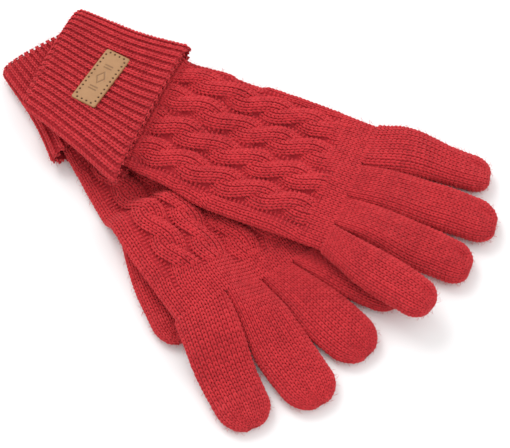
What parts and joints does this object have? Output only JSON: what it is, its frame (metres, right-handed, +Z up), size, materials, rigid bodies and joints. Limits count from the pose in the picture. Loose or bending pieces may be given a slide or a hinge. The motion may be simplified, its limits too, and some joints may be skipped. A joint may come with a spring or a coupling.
{
  "type": "touchscreen gloves",
  "caption": "Pair of cable-knit touchscreen gloves with turned-back ribbed cuffs and a leather label, laid flat with one over the other.",
  "frame": {"origin": "on the table, in the flat underside of the lower glove's palm just beyond its cuff", "axes": "+X along the upper glove from cuff to fingers, +Y to the upper glove's thumb side, +Z up from the table"},
  "size_m": [0.27, 0.1879, 0.031],
  "materials": {
    "wool_knit": "soft brushed knit",
    "wool_rib": "soft ribbed knit",
    "conductive_knit": "soft knit with fine metal-coated yarn",
    "label_leather": "smooth vegetable-tanned leather",
    "label_thread": "waxed thread"
  },
  "bodies": {
    "lower_palm": {"lower_hand": "wool_knit", "lower_wrist_rib": "wool_rib", "lower_turned_cuff": "wool_rib"},
    "upper_palm": {"upper_hand": "wool_knit", "upper_wrist_rib": "wool_rib", "upper_turned_cuff": "wool_rib", "upper_label": "label_leather", "upper_label_stitches": "label_thread"},
    "upper_thumb": {"upper_thumb": "wool_knit", "upper_thumb_touch_tip": "conductive_knit"},
    "upper_index": {"upper_index_finger": "wool_knit", "upper_index_touch_tip": "conductive_knit"},
    "upper_middle": {"upper_middle_finger": "wool_knit"},
    "upper_ring": {"upper_ring_finger": "wool_knit"},
    "upper_little": {"upper_little_finger": "wool_knit"},
    "lower_thumb": {"lower_thumb": "wool_knit", "lower_thumb_touch_tip": "conductive_knit"},
    "lower_index": {"lower_index_finger": "wool_knit", "lower_index_touch_tip": "conductive_knit"},
    "lower_middle": {"lower_middle_finger": "wool_knit"},
    "lower_ring": {"lower_ring_finger": "wool_knit"},
    "lower_little": {"lower_little_finger": "wool_knit"}
  },
  "joints": [
    {"name": "upper_glove_lift", "type": "slide", "parent": "lower_palm", "child": "upper_palm", "axis": [0, 0, 1], "range_m": [0, 0.08]},
    {"name": "upper_index_bend", "type": "hinge", "parent": "upper_palm", "child": "upper_index", "pos_m": [0.10095, 0.0454, 0.0208], "axis": [0, -1, 0], "range_deg": [0, 70]},
    {"name": "upper_middle_bend", "type": "hinge", "parent": "upper_palm", "child": "upper_middle", "pos_m": [0.10095, 0.022, 0.0208], "axis": [0, -1, 0], "range_deg": [0, 70]},
    {"name": "upper_ring_bend", "type": "hinge", "parent": "upper_palm", "child": "upper_ring", "pos_m": [0.10095, 0.0036, 0.0208], "axis": [0, -1, 0], "range_deg": [0, 70]},
    {"name": "upper_little_bend", "type": "hinge", "parent": "upper_palm", "child": "upper_little", "pos_m": [0.10095, -0.013, 0.0208], "axis": [0, -1, 0], "range_deg": [0, 70]},
    {"name": "upper_thumb_swing", "type": "hinge", "parent": "upper_palm", "child": "upper_thumb", "pos_m": [0.0428, 0.0506, 0.0043], "axis": [0, 0, 1], "range_deg": [0, 40]},
    {"name": "lower_index_bend", "type": "hinge", "parent": "lower_palm", "child": "lower_index", "pos_m": [0.05868, -0.0706, 0.0189], "axis": [-0.5592, -0.829, 0], "range_deg": [0, 70]},
    {"name": "lower_middle_bend", "type": "hinge", "parent": "lower_palm", "child": "lower_middle", "pos_m": [0.07242, -0.05023, 0.0189], "axis": [-0.5592, -0.829, 0], "range_deg": [0, 70]},
    {"name": "lower_ring_bend", "type": "hinge", "parent": "lower_palm", "child": "lower_ring", "pos_m": [0.08322, -0.03421, 0.0123], "axis": [-0.5592, -0.829, 0], "range_deg": [0, 70]},
    {"name": "lower_little_swing", "type": "hinge", "parent": "lower_palm", "child": "lower_little", "pos_m": [0.09766, -0.0128, 0.0047], "axis": [0, 0, 1], "range_deg": [0, 6]},
    {"name": "lower_thumb_swing", "type": "hinge", "parent": "lower_palm", "child": "lower_thumb", "pos_m": [0.00439, -0.0471, 0.0043], "axis": [0, 0, -1], "range_deg": [0, 40]}
  ]
}
